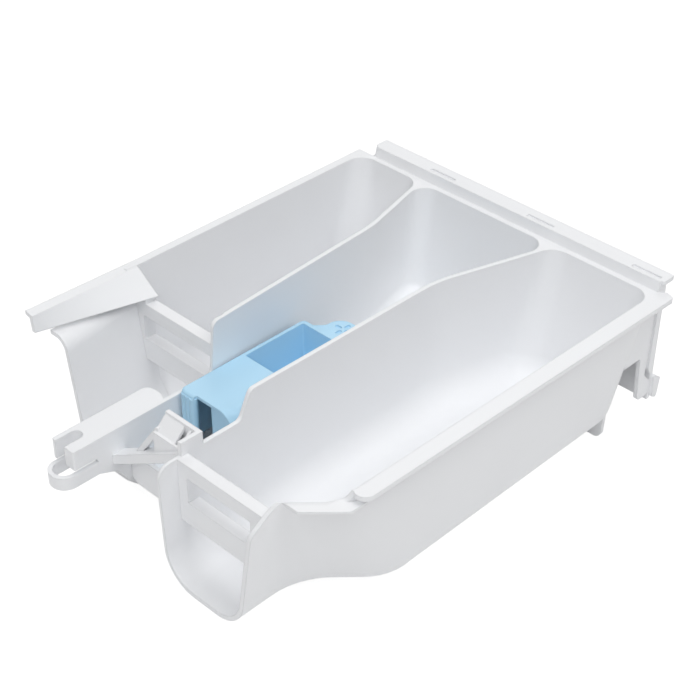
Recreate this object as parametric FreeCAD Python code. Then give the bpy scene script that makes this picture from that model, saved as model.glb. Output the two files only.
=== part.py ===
import FreeCAD, Part
import math
import os
from FreeCAD import Vector

# Inner tray of a detergent drawer with its siphon insert. Millimetres.
# While it is drawn: x runs from the left rim to the right rim, y from the outlet end (negative)
# to the handle end (zero at the rim), and z up from the rim plane. At the end the tray is moved
# so that the origin lies under the middle of its box, on the surface that it stands on.

# Tray: walls and depths
WALL = 2.2                    # moulded wall
DEPTH_HANDLE_END = 69.2       # rim to the outside of the floor, at the handle end
DEPTH_SPOUT_END = 75.2        # the same at the tip of the right spout
FLOOR_RADIUS = 18.0           # outside, between floor and walls
RIM_THICKNESS = 2.4
REAR_WALL_LINE = 1.0          # handle-end wall, inward from the end of the rim
REAR_DRAFT = 0.20             # inward lean of the handle-end walls, per mm of depth
SIDE_DRAFT = 0.057            # the same for the long outer walls

# Tray: widths from left to right; the main compartment takes what the others leave
TRAY_WIDTH = 200.0            # over the two slide rims
LEFT_RIM = 4.5                # slide flanges, from the inside of the wall
RIGHT_RIM = 8.0
LEFT_COMPARTMENT = 62.4       # outside of the left wall to the middle of its partition
SOFTENER_COMPARTMENT = 49.1   # between the middles of the two partitions
LEFT_EDGE = -TRAY_WIDTH / 2
RIGHT_EDGE = TRAY_WIDTH / 2
LEFT_WALL_X = LEFT_EDGE + LEFT_RIM - WALL
RIGHT_WALL_X = RIGHT_EDGE - RIGHT_RIM + WALL
LEFT_PARTITION_X = LEFT_WALL_X + LEFT_COMPARTMENT
RIGHT_PARTITION_X = LEFT_PARTITION_X + SOFTENER_COMPARTMENT

# Tray: how the partitions run aside towards the handle end, by the middle of the wall
LEFT_PARTITION_START = -160.0
LEFT_BEND_ASIDE = 6.9         # to the left at its bend, and at its end
LEFT_END_ASIDE = 19.4
LEFT_BEND_Y = -50.0
LEFT_PARTITION_BEND = (LEFT_PARTITION_X - LEFT_BEND_ASIDE, LEFT_BEND_Y)
LEFT_PARTITION_END_X = LEFT_PARTITION_X - LEFT_END_ASIDE
RIGHT_PARTITION_BEND_Y = -65.0
RIGHT_END_ASIDE = 19.8        # to the right at its end
RIGHT_PARTITION_END_X = RIGHT_PARTITION_X + RIGHT_END_ASIDE
PARTITION_BEND_RADIUS = 60.0
WALL_LAP = 0.5                # how far neighbouring tubs share a partition past its middle

# Tray: rims and plan corners
RIM_WEB = 34.0                # plate that closes the corners between the compartments
REAR_CORNER_RADIUS = 10.0     # plan corners of the compartments at the rim
FLOOR_CORNER_EXTRA = 4.0      # the same at the floor, past the floor's own rounding
FLOOR_CORNER_RADIUS = FLOOR_RADIUS + FLOOR_CORNER_EXTRA
NOSE_RADII = (2.5, 5.0)       # front end of the right rim, inner and outer corner
EAR_OUT = 0.7                 # small ear at the right rim's rear end
EAR_REAR = 1.4
EAR_WIDTH = 4.7
EAR_TAPER = 1.6
EAR_RADIUS = 2.0

# Outlet frames: jambs and bars that cross each spout
FRAME_DEPTH = 6.0             # along y
FRAME_TOP = 13.4              # below the rim
TOP_BAR = 7.0                 # heights of the bars
WINDOW = 13.5                 # height of the gap between them
LOW_BAR = 12.0
JAMB = 5.6                    # width of the uprights beside the gap
STEP_RADIUS = 4.0             # where a wall's top steps down from the rim
STEP_BLEND = 20.0             # length over which the step runs out into the rim
STEP_LIFT = 0.3

# Right spout
RIGHT_SPOUT_TIP = -234.0
RIGHT_FRAME_INSET = 9.0       # its frame, from the tip
RIGHT_FRAME_FRONT = RIGHT_SPOUT_TIP + RIGHT_FRAME_INSET
SPOUT_LEAN = 1.6              # its left wall's upper end stands this far past the tip
SPOUT_CORNER = 7.0            # upper corners of its walls
SPOUT_EDGE_DROP = 17.5        # top of its right wall at the tip, below the rim
RIGHT_SPOUT_INSET = 27.4      # outside of its right wall from the rim's edge, at rim height
RIGHT_SPOUT_X = RIGHT_EDGE - RIGHT_SPOUT_INSET
RIGHT_SPOUT_DRAFT = 0.159
SHOULDER_CUT = 39.0           # what the slanting shoulder wall cuts off the corner, in x and y together
SHOULDER_LINE = RIGHT_EDGE - RIGHT_SPOUT_TIP - SHOULDER_CUT    # x - y along that wall
SHOULDER_DRAFT = 0.36
SHOULDER_RADIUS_RIM = 10.0
SHOULDER_RADIUS_FLOOR = 36.0
RIGHT_LOW_RUN = 45.0          # from the tip; here the partition drops to the frame's height
RIGHT_LOW_START = RIGHT_SPOUT_TIP + RIGHT_LOW_RUN
RIGHT_STEP_RUN = 6.5
SHOULDER_DROP = 5.0           # the shoulder's edge lies this far below the rim
SHOULDER_STEP_RUN = 2.0
LIP = 4.2                     # flange along the shoulder's edge
LIP_START = 3.0               # from the corner where spout and shoulder meet
LIP_END = 2.4                 # past the right wall
LIP_TAIL = 9.0                # and this far back under the rim
LIP_SHEET = 1.5
LIP_ROUNDS = (7.0, 0.6)       # rounding of its inner edge, and what is left of it at the end
LIP_RUN_OUT = 6.0

# Left spout
LEFT_SPOUT_TIP = -205.0
LEFT_FRAME_FRONT = -160.5
LEFT_TIP_INSET = 9.2          # outside of its left wall from the rim's edge, at rim height
LEFT_ROOT_INSET = 5.2
LEFT_SPOUT_TIP_X = LEFT_EDGE + LEFT_TIP_INSET
LEFT_SPOUT_ROOT_X = LEFT_EDGE + LEFT_ROOT_INSET
LEFT_SPOUT_DRAFT = 0.15
FLARE_DROP = 13.0             # flange at the top of that wall, below the rim
FLARE_RADII = (6.0, 2.8)      # of the bend into it, outside, at the tip and at the frame
LEFT_LOW_DROP = 28.0          # the left partition drops this far below the rim
LEFT_LOW_LEAD = 2.5           # before the frame
LEFT_LOW_START = LEFT_FRAME_FRONT - LEFT_LOW_LEAD
LEFT_STEP_RUN = 2.5
WING_REACH = 8.5              # past the spout's tip
WING_ROOT_RUN = 10.5          # behind the frame's front, where it runs into the left rim
WING_TIP = LEFT_SPOUT_TIP - WING_REACH
WING_ROOT = LEFT_FRAME_FRONT + WING_ROOT_RUN
WING_OUT = 3.3                # its flange reaches this far past the rim at the tip
WING_SAG = 0.9                # and lies this far below the rim there
WING_TIP_FLANGE = 4.9         # widths of the flange
WING_ROOT_FLANGE = 6.0
WING_DROP = 10.5              # lower edge of the wing's web
WING_TIP_FOOT = 1.0           # run of the web at the tip, and the same where it meets the frame
WING_FOOT_INSET = 21.0
WING_FOOT_X = LEFT_EDGE + WING_FOOT_INSET
WING_SHEET = 2.0

# Softener compartment
SOFTENER_DEPTH_HANDLE_END = 57.0
SOFTENER_DEPTH_SPOUT_END = 61.0
SOFTENER_FRONT = -212.6
SOFTENER_END_WALL_DROP = 45.0    # its end wall stops this far below the rim
SOFTENER_FLOOR_RADIUS = 7.0
STAND_PIPE_Y = -163.0
STAND_PIPE = ((LEFT_PARTITION_X + RIGHT_PARTITION_X) / 2, STAND_PIPE_Y)
STAND_PIPE_DIAMETER = 9.0
STAND_PIPE_BORE = 5.6
STAND_PIPE_TOP = 47.0         # below the rim

# Handle end
STRIP_LEFT_INSET = 9.5        # ends of the raised strip, from the rims' edges
STRIP_RIGHT_INSET = 6.0
STRIP_LEFT = LEFT_EDGE + STRIP_LEFT_INSET
STRIP_RIGHT = RIGHT_EDGE - STRIP_RIGHT_INSET
STRIP_HEIGHT = 5.0            # above the rim
STRIP_DEPTH = 10.6
STRIP_THICKNESS = 2.0
STRIP_CORNER = 1.2
STRIP_OVERHANG = 1.5          # shelf past the riser at its ends
RISER_Y = -0.4                # foot of the slanting riser that carries the shelf
RISER_RUN = 1.8
SLOTS = 3
SLOT_Y = 4.2
SLOT_LENGTH = 16.0
SLOT_WIDTH = 2.0
SLOT_DEPTH = 0.8
SLOT_FIRST_INSET = 45.5       # middles of the outer slots, from the strip's ends
SLOT_LAST_INSET = 11.4
SLOT_FIRST_X = STRIP_LEFT + SLOT_FIRST_INSET
SLOT_LAST_X = STRIP_RIGHT - SLOT_LAST_INSET
SKIRT_Y = 5.4                 # front face of the skirt plate
SKIRT_LEAN = 2.8              # its lower edge comes in by this
SKIRT_DROP = 63.6
CHEEK_INSET = 10.4            # inside of the plates that close the skirt's ends, from the rim's edge
CHEEK_X = RIGHT_EDGE - CHEEK_INSET
CHEEK_LENGTH = 18.0           # along the compartments
ARCH_DROP = 35.0
PRONG_Y = -6.4
PRONG_WIDTH = 9.4
PRONG_DROP = 60.5
PRONG_TAPER = 1.0
PRONG_RADIUS = 2.5
HOOK_DROP = 51.0
HOOK_LENGTH = 13.0
HOOK_REACH = 3.2              # past the skirt
HOOK_SLOPE = 2.0
HOOK_OUT = 1.8                # it is thicker than the cheek, on both sides
HOOK_RADIUS = 1.2
SEAM_Y = 1.0                  # groove between each cheek and the skirt
SEAM = 2.6
SEAM_LEAN = 2.3
SLIT = 1.2                    # between prong and hook
SLIT_RISE = 5.0
FOOT_Y = -24.0
FOOT_WIDTH = 26.0
FOOT_INSET = 13.7             # outer edge of each foot, from the rim's edge
FOOT_REACH = RIGHT_EDGE - FOOT_INSET
FOOT_RADIUS = 4.0

# Stop arm, struts and ramp between the spouts
ARM_WIDTH = 15.0
ARM_HOLD = 17.0               # how far it runs along the left spout
ARM_REACH = 38.0              # and past the spout's tip
ARM_REAR = LEFT_SPOUT_TIP + ARM_HOLD
ARM_FRONT = LEFT_SPOUT_TIP - ARM_REACH
ARM_HEIGHT = 10.0
ARM_CORNER = 1.0
ARM_HEEL = (2.0, 8.0, 3.5)    # radii of its round rear end, from right to left
ARM_HEEL_FALL = (3.0, 1.5)    # how far the heel's sides stay behind its middle
NOTCH_WIDTH = 6.4
NOTCH_LENGTH = 12.0
NOTCH_SIDE = 2.4              # left of the notch
HOOP_REACH = 7.5              # past the arm
HOOP_FRONT = ARM_FRONT - HOOP_REACH
HOOP_HEIGHT = 6.5
HOOP_GAP = 2.5                # between the arm and the hoop below it
HOOP_ROOT_RUN = 13.0          # from the arm's end back to the hoop's root
HOOP_ROOT = ARM_FRONT + HOOP_ROOT_RUN
HOOP_ROOT_LENGTH = 8.0
ARM_TOE_DROP = 69.0           # lower end of the arm's web, below the rim
ARM_WEB_KNEE = (10.0, 4.0, 5.0)     # behind the hoop and below it, with its radius
ARM_WEB_ANKLE = (8.0, 7.0, 12.0)    # before the spout and above the toe, with its radius
STRUT_INSET = 11.5            # behind the right spout's tip
STRUT_FRONT = RIGHT_SPOUT_TIP + STRUT_INSET
STRUT_DEPTH = 7.0             # along y
STRUT_HEIGHT = 5.2
STRUT_FALL = 29.0             # from the right spout down to the arm
STRUT_LIFT = 1.0              # its upper end over the frame's top
TIE_RUN = 17.0                # thin tie, from the ramp to the strut
RAMP_WIDTH = 12.7
RAMP_INSET = 20.5             # left side, from the middle of the partition
RAMP_LEFT = RIGHT_PARTITION_X - RAMP_INSET
RAMP_REAR = SOFTENER_FRONT + WALL / 2
RAMP_RUN = 7.0
RAMP_DROP = 6.7               # top of the ramp below the rim
RAMP_POST = 4.0               # post beside it, before the ramp
RIB = 1.5                     # thin ribs

# Siphon insert
INSERT_CLEARANCE = 0.4        # to the compartment's walls
INSERT_WALL = 1.6
INSERT_TOP = 24.5             # below the rim
INSERT_FRONT = -183.0
INSERT_REAR = -105.0
INSERT_CORNER = 3.0
INSERT_EDGE = 1.4             # rounding of the cover's upper edges
POCKET_FRONT = -145.0
POCKET_REAR = -108.0
POCKET_DEPTH = 24.0
POCKET_RIM = 2.6
POCKET_CORNER = 1.0
INSERT_FOOT_GAP = 0.3         # over the compartment's floor
ROLL_FRONT = (24.0, 11.0)     # width and fall of the cover's right side at the front,
ROLL_REAR = (3.0, 2.2)        # and at the pocket
ROLL_FLAT = 0.2               # share of the width that is level at the foot
PANEL = 9.8                   # width of the fluted panel at the left of the front
INLET = 7.2                   # opening beside the panel
INLET_TOP = 1.2               # under the cover
INLET_RADIUS = 2.0
SCOOP = 1.9                   # the cover's edge is set back beside the panel
SET_BACK = 4.0                # and so is the front wall under it
FLUTES = 3
FLUTE_RADIUS = 2.0
FLUTE_PITCH = 2.7
FLUTE_OUT = 0.8               # before the panel
CAP_GAP = 2.0                 # between stand pipe and siphon cap
CAP_WALL = 1.5
CAP_FOOT_GAP = 4.0
TAB_LENGTH = 13.0
TAB_WIDTH = 23.0
TAB_ROOT = 34.0               # width where it leaves the insert
TAB_ROOT_RUN = 3.5
TAB_RADII = (5.0, 8.0)        # at the root and at the end
TAB_THICKNESS = 2.2
PETALS = 4                    # flower sunk into the tab
PETAL_LENGTH = 3.6
PETAL_WIDTH = 2.0
PETAL_RADIUS = 3.0            # from the flower's middle to the middle of each petal
PETAL_DEPTH = 0.8
FLOWER = (-3.3, 6.6)          # from the middle of the insert's rear edge

REACH = 300.0                 # longer than the tray, for cutting tools
CUT_TOP = 8.0                 # cavities are cut from this far above the rim
TOOL_LAP = 1.0                # cutting tools reach this far past a face
TIGHT = 0.98                  # share of a side that its two corner roundings may take
FILLET_SHARE = 0.9            # of a floor's corner radius, which its edge rounding may take


def spout_floor(y):
    """Height of the outside of the outer compartments' floor."""
    fall = (DEPTH_SPOUT_END - DEPTH_HANDLE_END) / -RIGHT_SPOUT_TIP
    return -DEPTH_HANDLE_END + fall * y


def softener_floor(y):
    """Height of the outside of the softener compartment's floor."""
    fall = (SOFTENER_DEPTH_SPOUT_END - SOFTENER_DEPTH_HANDLE_END) / -SOFTENER_FRONT
    return -SOFTENER_DEPTH_HANDLE_END + fall * y


def box(x0, x1, y0, y1, z0, z1):
    return Part.makeBox(x1 - x0, y1 - y0, z1 - z0, Vector(x0, y0, z0))


def fitted(points, radii):
    """Corner radii, smaller where two neighbours would not fit on the side between them."""
    count = len(points)
    reaches = []
    for i, corner in enumerate(points):
        opening = (points[i - 1] - corner).getAngle(points[(i + 1) % count] - corner)
        reaches.append(radii[i] / math.tan(opening / 2))
    shares = [1.0] * count
    for i in range(count):
        j = (i + 1) % count
        room = TIGHT * points[i].distanceToPoint(points[j])
        if reaches[i] + reaches[j] > room:
            share = room / (reaches[i] + reaches[j])
            shares[i] = min(shares[i], share)
            shares[j] = min(shares[j], share)
    return [radius * share for radius, share in zip(radii, shares)]


def loop(points, radii):
    """Closed wire through flat corner points, each rounded with its radius."""
    edges = []
    ends = []
    count = len(points)
    for i, radius in enumerate(fitted(points, radii)):
        corner = points[i]
        if radius <= 0:
            ends.append((corner, corner, None))
            continue
        back = (points[i - 1] - corner).normalize()
        ahead = (points[(i + 1) % count] - corner).normalize()
        half = back.getAngle(ahead) / 2
        middle = (back + ahead).normalize()
        reach = radius / math.tan(half)
        centre = corner + middle * (radius / math.sin(half))
        ends.append((corner + back * reach, corner + ahead * reach, centre - middle * radius))
    for i, (start, end, crown) in enumerate(ends):
        if crown is not None:
            edges.append(Part.Arc(start, crown, end).toShape())
        following = ends[(i + 1) % count][0]
        if end.distanceToPoint(following) > 1e-6:
            edges.append(Part.LineSegment(end, following).toShape())
    return Part.Wire(edges)


def plate(corners, z0, z1):
    """Flat plate from plan corners (x, y, radius)."""
    wire = loop([Vector(x, y, z0) for x, y, r in corners], [r for x, y, r in corners])
    return Part.Face(wire).extrude(Vector(0, 0, z1 - z0))


def side_plate(corners, x0, x1):
    """Upright plate along y, from side corners (y, z, radius)."""
    wire = loop([Vector(x0, y, z) for y, z, r in corners], [r for y, z, r in corners])
    return Part.Face(wire).extrude(Vector(x1 - x0, 0, 0))


def end_plate(corners, y0, y1):
    """Upright plate across x, from end corners (x, z, radius)."""
    wire = loop([Vector(x, y0, z) for x, z, r in corners], [r for x, z, r in corners])
    return Part.Face(wire).extrude(Vector(0, y1 - y0, 0))


def inward(corners, i):
    """Inward normal of the side from corner i to the next, for corners given anticlockwise."""
    x0, y0 = corners[i][:2]
    x1, y1 = corners[(i + 1) % len(corners)][:2]
    length = math.hypot(x1 - x0, y1 - y0)
    return -(y1 - y0) / length, (x1 - x0) / length


def turns_left(corners, i):
    x0, y0 = corners[i - 1][:2]
    x1, y1 = corners[i][:2]
    x2, y2 = corners[(i + 1) % len(corners)][:2]
    return (x1 - x0) * (y2 - y1) - (y1 - y0) * (x2 - x1) > 0


def section(corners, shifts, drafts, level):
    """Corners of a tub's outline on the plane level(y), with each side shifted in and drafted."""
    rise = level(1.0) - level(0.0)
    points = []
    for i in range(len(corners)):
        rows = []
        for j in (i - 1, i):
            nx, ny = inward(corners, j)
            x0, y0 = corners[j][:2]
            j = j % len(corners)
            offset = nx * x0 + ny * y0 + shifts[j] - drafts[j] * level(0.0)
            rows.append((nx, ny + drafts[j] * rise, offset))
        (a, b, e), (c, d, f) = rows
        det = a * d - b * c
        x = (e * d - b * f) / det
        y = (a * f - e * c) / det
        points.append(Vector(x, y, level(y)))
    return points


def wall_face(high, deep):
    """Face between matching edges of two outlines: flat between lines, ruled between arcs."""
    if high.Curve.TypeId != "Part::GeomLine":
        return Part.makeRuledSurface(high, deep)
    upper = [high.firstVertex(True).Point, high.lastVertex(True).Point]
    lower = [deep.lastVertex(True).Point, deep.firstVertex(True).Point]
    return Part.Face(Part.makePolygon(upper + lower + upper[:1]))


def tub(corners, shifts, drafts, floor, top, fillet, open_sides=()):
    """Drafted solid from the plan corners (x, y, rim radius, floor radius) down to its floor."""
    grow = [(shifts[i - 1] + shifts[i]) / 2 for i in range(len(corners))]
    signs = [-1 if turns_left(corners, i) else 1 for i in range(len(corners))]
    rim_radii = [max(c[2] + s * g, 0) if c[2] else 0 for c, s, g in zip(corners, signs, grow)]
    floor_radii = [max(c[3] + s * g, 0) if c[3] else 0 for c, s, g in zip(corners, signs, grow)]
    upper = section(corners, shifts, drafts, lambda y: top)
    lower = section(corners, shifts, drafts, floor)
    floor_radii = fitted(lower, floor_radii)
    widths = [(lower[i] - lower[(i + 1) % len(lower)]).Length for i in open_sides]
    rounding = min([fillet] + [w / 2 for w in widths] + [FILLET_SHARE * r for r in floor_radii if r > 0])
    high = loop(upper, rim_radii)
    deep = loop(lower, floor_radii)
    faces = [Part.Face(high), Part.Face(deep)]
    faces += [wall_face(a, b) for a, b in zip(high.OrderedEdges, deep.OrderedEdges)]
    shell = Part.makeShell(faces)
    shell.sewShape()
    solid = Part.makeSolid(shell)
    mouths = [(lower[i] + lower[(i + 1) % len(lower)]) * 0.5 for i in open_sides]
    bottom = []
    for edge in solid.Edges:
        on_floor = all(abs(v.Z - floor(v.Y)) < 1e-4 for v in edge.Vertexes)
        at_mouth = any(edge.CenterOfMass.distanceToPoint(m) < 1e-3 for m in mouths)
        if on_floor and not at_mouth:
            bottom.append(edge)
    return solid.makeFillet(rounding, bottom)


def left_partition_x(y):
    """Middle of the left partition between its start and its bend."""
    x1, y1 = LEFT_PARTITION_BEND
    share = (y - LEFT_PARTITION_START) / (y1 - LEFT_PARTITION_START)
    return LEFT_PARTITION_X + (x1 - LEFT_PARTITION_X) * share


# Plan corners (x, y, rim radius, floor radius), anticlockwise, on the middle of the partitions,
# and on the outside of the other walls
REAR_Y = -REAR_WALL_LINE
BEND_RADII = (PARTITION_BEND_RADIUS, PARTITION_BEND_RADIUS)
RIGHT_BEND = (RIGHT_PARTITION_X, RIGHT_PARTITION_BEND_Y) + BEND_RADII
LEFT_BEND = LEFT_PARTITION_BEND + BEND_RADII
REAR_CORNER = (REAR_CORNER_RADIUS, FLOOR_CORNER_RADIUS)
LEFT_FRAME_REAR = LEFT_FRAME_FRONT + FRAME_DEPTH
RIGHT_FRAME_REAR = RIGHT_FRAME_FRONT + FRAME_DEPTH


def left_tub_corners(front):
    return [
        (LEFT_WALL_X, front, 0, 0),
        (left_partition_x(front), front, 0, 0),
        LEFT_BEND,
        (LEFT_PARTITION_END_X, REAR_Y) + REAR_CORNER,
        (LEFT_WALL_X, REAR_Y) + REAR_CORNER,
    ]


def left_spout_x(y):
    """Outside of the left spout's left wall, at rim height."""
    share = (y - LEFT_SPOUT_TIP) / (LEFT_FRAME_FRONT - LEFT_SPOUT_TIP)
    return LEFT_SPOUT_TIP_X + (LEFT_SPOUT_ROOT_X - LEFT_SPOUT_TIP_X) * share


def left_spout_corners(front, rear):
    return [
        (left_spout_x(front), front, 0, 0),
        (LEFT_PARTITION_X, front, 0, 0),
        (LEFT_PARTITION_X, rear, 0, 0),
        (left_spout_x(rear), rear, 0, 0),
    ]


def right_tub_corners(front):
    shoulder = (SHOULDER_RADIUS_RIM, SHOULDER_RADIUS_FLOOR)
    return [
        (RIGHT_PARTITION_X, front, 0, 0),
        (RIGHT_SPOUT_X, front, 0, 0),
        (RIGHT_SPOUT_X, RIGHT_SPOUT_X - SHOULDER_LINE) + shoulder,
        (RIGHT_WALL_X, RIGHT_WALL_X - SHOULDER_LINE) + shoulder,
        (RIGHT_WALL_X, REAR_Y) + REAR_CORNER,
        (RIGHT_PARTITION_END_X, REAR_Y) + REAR_CORNER,
        RIGHT_BEND,
    ]


def softener_corners():
    radius = REAR_CORNER_RADIUS
    return [
        (LEFT_PARTITION_X, SOFTENER_FRONT, 0, 0),
        (RIGHT_PARTITION_X, SOFTENER_FRONT, 0, 0),
        RIGHT_BEND,
        (RIGHT_PARTITION_END_X, REAR_Y, radius, radius),
        (LEFT_PARTITION_END_X, REAR_Y, radius, radius),
        LEFT_BEND,
        (LEFT_PARTITION_X, LEFT_PARTITION_START) + BEND_RADII,
    ]


def raised(floor):
    """The inside of a floor, one wall above its outside."""
    return lambda y: floor(y) + WALL


def left_compartment():
    """Outer form and cavity of the left compartment and its spout."""
    drafts = [0, 0, 0, REAR_DRAFT, SIDE_DRAFT]
    outer = tub(left_tub_corners(LEFT_FRAME_FRONT), [0, -WALL_LAP, -WALL_LAP, 0, 0], drafts,
                spout_floor, 0.0, FLOOR_RADIUS, (0,))
    cavity = tub(left_tub_corners(LEFT_FRAME_REAR), [0, WALL / 2, WALL / 2, WALL, WALL], drafts,
                 raised(spout_floor), CUT_TOP, FLOOR_RADIUS - WALL, (0,))
    return outer, cavity


def left_spout():
    """Outer form of the left spout, its cavity, and the same cavity through the frame."""
    drafts = [0, 0, 0, LEFT_SPOUT_DRAFT]
    outer = tub(left_spout_corners(LEFT_SPOUT_TIP, LEFT_FRAME_REAR), [0, -WALL / 2, 0, 0], drafts,
                spout_floor, -LEFT_LOW_DROP, FLOOR_RADIUS, (0, 2))
    inside = [0, WALL / 2, 0, WALL]
    cavity = tub(left_spout_corners(LEFT_SPOUT_TIP - WALL, LEFT_FRAME_FRONT), inside, drafts,
                 raised(spout_floor), CUT_TOP, FLOOR_RADIUS - WALL, (0, 2))
    through = tub(left_spout_corners(LEFT_FRAME_FRONT - WALL, LEFT_FRAME_REAR + WALL), inside, drafts,
                  raised(spout_floor), CUT_TOP, FLOOR_RADIUS - WALL, (0, 2))
    return outer, cavity, through


def right_compartment():
    """Outer form of the right compartment with its spout, and its cavity through the spout."""
    drafts = [0, RIGHT_SPOUT_DRAFT, SHOULDER_DRAFT, SIDE_DRAFT, REAR_DRAFT, 0, 0]
    lap = [0, 0, 0, 0, 0, -WALL_LAP, -WALL_LAP]
    outer = tub(right_tub_corners(RIGHT_SPOUT_TIP - SPOUT_LEAN), lap, drafts,
                spout_floor, 0.0, FLOOR_RADIUS, (0,))
    inside = [0, WALL, WALL, WALL, WALL, WALL / 2, WALL / 2]
    cavity = tub(right_tub_corners(RIGHT_SPOUT_TIP - 2 * WALL), inside, drafts,
                 raised(spout_floor), CUT_TOP, FLOOR_RADIUS - WALL, (0,))
    return outer, cavity


def softener_compartment():
    """Outer form and cavity of the middle compartment."""
    drafts = [0, 0, 0, REAR_DRAFT, 0, 0, 0]
    lap = [0, -WALL_LAP, -WALL_LAP, 0, -WALL_LAP, -WALL_LAP, -WALL_LAP]
    outer = tub(softener_corners(), lap, drafts, softener_floor, 0.0, SOFTENER_FLOOR_RADIUS, (0, 1, 6))
    half = WALL / 2
    cavity = tub(softener_corners(), [WALL, half, half, WALL, half, half, half], drafts,
                 raised(softener_floor), CUT_TOP, SOFTENER_FLOOR_RADIUS - WALL)
    return outer, cavity


def frame_windows(x0, x1, front, through):
    """The two gaps of an outlet frame: between its bars, and the mouth below the low bar."""
    rear = front + FRAME_DEPTH
    upper_top = -FRAME_TOP - TOP_BAR
    low_top = upper_top - WINDOW
    gap = box(x0, x1, front - WALL, rear + WALL, low_top, upper_top)
    mouth = box(-REACH, REACH, front - WALL, rear + WALL, -REACH, low_top - LOW_BAR)
    return [gap.common(through), mouth.common(through)]


def wing_line(y):
    """Plan of the wing at y: outer edge, sag, inner side of the flange, foot of the web."""
    share = (y - WING_TIP) / (WING_ROOT - WING_TIP)
    edge = LEFT_EDGE - WING_OUT * (1 - share)
    inner = edge + WING_TIP_FLANGE + (WING_ROOT_FLANGE - WING_TIP_FLANGE) * share
    tip_foot = LEFT_EDGE - WING_OUT + WING_TIP_FLANGE + WING_TIP_FOOT
    foot = tip_foot + (WING_FOOT_X - tip_foot) * share
    return edge, WING_SAG * (1 - share), inner, foot


def left_frame_top():
    """Tool over the left frame: level above its top bar, then up inside the wing's web."""
    bar_end = LEFT_PARTITION_X - WALL / 2
    edge, sag, inner, foot = wing_line(LEFT_FRAME_FRONT)
    inner -= WING_SHEET / 2
    foot -= WING_SHEET / 2
    return end_plate([
        (inner, CUT_TOP, 0),
        (inner, -sag, 0),
        (foot, -WING_DROP, 0),
        (foot, -FRAME_TOP, 0),
        (bar_end, -FRAME_TOP, 0),
        (bar_end, CUT_TOP, 0),
    ], LEFT_FRAME_FRONT - WALL, LEFT_FRAME_REAR + WALL)


def wall_trims():
    """Tools that bring the wall tops at the outlet end down from the rim, with rounded steps."""
    low = -LEFT_LOW_DROP
    left = side_plate([
        (-REACH, low, 0),
        (LEFT_LOW_START, low, STEP_RADIUS),
        (LEFT_LOW_START + LEFT_STEP_RUN, 0.0, STEP_RADIUS),
        (LEFT_LOW_START + STEP_BLEND, STEP_LIFT, 0),
        (LEFT_LOW_START + STEP_BLEND, CUT_TOP, 0),
        (-REACH, CUT_TOP, 0),
    ], LEFT_PARTITION_X - WALL, LEFT_PARTITION_X + WALL)
    tip = RIGHT_SPOUT_TIP
    middle = side_plate([
        (tip, -REACH, 0),
        (tip, -DEPTH_SPOUT_END + FLOOR_RADIUS, 0),
        (tip - SPOUT_LEAN, -FRAME_TOP, SPOUT_CORNER),
        (RIGHT_LOW_START, -FRAME_TOP, STEP_RADIUS),
        (RIGHT_LOW_START + RIGHT_STEP_RUN, 0.0, STEP_RADIUS),
        (RIGHT_LOW_START + STEP_BLEND, STEP_LIFT, 0),
        (RIGHT_LOW_START + STEP_BLEND, CUT_TOP, 0),
        (-REACH, CUT_TOP, 0),
        (-REACH, -REACH, 0),
    ], RIGHT_PARTITION_X - WALL, RIGHT_PARTITION_X + WALL)
    shoulder = -SHOULDER_DROP
    lip_start = RIGHT_SPOUT_X - SHOULDER_LINE + LIP_START
    lip_end = RIGHT_WALL_X - SHOULDER_LINE
    right = side_plate([
        (tip, -DEPTH_SPOUT_END, 0),
        (tip, -SPOUT_EDGE_DROP, SPOUT_CORNER),
        (lip_start, shoulder, STEP_RADIUS),
        (lip_end, shoulder, STEP_RADIUS / 2),
        (lip_end + SHOULDER_STEP_RUN, STEP_LIFT, 0),
        (lip_end + SHOULDER_STEP_RUN, CUT_TOP, 0),
        (-REACH, CUT_TOP, 0),
        (-REACH, -DEPTH_SPOUT_END, 0),
    ], RIGHT_SPOUT_X - RIGHT_SPOUT_DRAFT * DEPTH_SPOUT_END / 2, RIGHT_EDGE)
    front = box(RIGHT_PARTITION_X + WALL, RIGHT_EDGE, -REACH, tip, -REACH, CUT_TOP)
    return [left, middle, right, front]


def rims():
    """Slide rims along both sides and the web that joins them at the handle end."""
    low = -RIM_THICKNESS
    left = box(LEFT_EDGE, LEFT_WALL_X + WALL, WING_ROOT, 0, low, 0)
    nose_y = RIGHT_WALL_X - SHOULDER_LINE + TOOL_LAP
    right = plate([
        (RIGHT_WALL_X - WALL, nose_y, NOSE_RADII[0]),
        (RIGHT_EDGE, nose_y, NOSE_RADII[1]),
        (RIGHT_EDGE + EAR_OUT, EAR_REAR, EAR_RADIUS),
        (RIGHT_EDGE + EAR_OUT - EAR_WIDTH, EAR_REAR + EAR_TAPER, 0),
        (RIGHT_WALL_X - WALL, 0, 0),
    ], low, 0)
    web = box(LEFT_EDGE, RIGHT_EDGE, -RIM_WEB, 0, low, 0)
    return [left, right, web]


def shoulder_lip():
    """Flange along the slanting shoulder's edge, one step below the rim."""
    top = -SHOULDER_DROP
    line = SHOULDER_LINE + LIP * math.sqrt(2)
    start = RIGHT_SPOUT_X - SHOULDER_LINE + LIP_START
    end = RIGHT_WALL_X + LIP_END
    tail = end - line + LIP_TAIL
    return plate([
        (start + SHOULDER_LINE - WALL, start, 0),
        (start + line, start, 0),
        (end, end - line, STEP_RADIUS / 2),
        (end, tail, 0),
        (RIGHT_WALL_X - WALL, tail, 0),
    ], top - LIP_SHEET, top)


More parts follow.
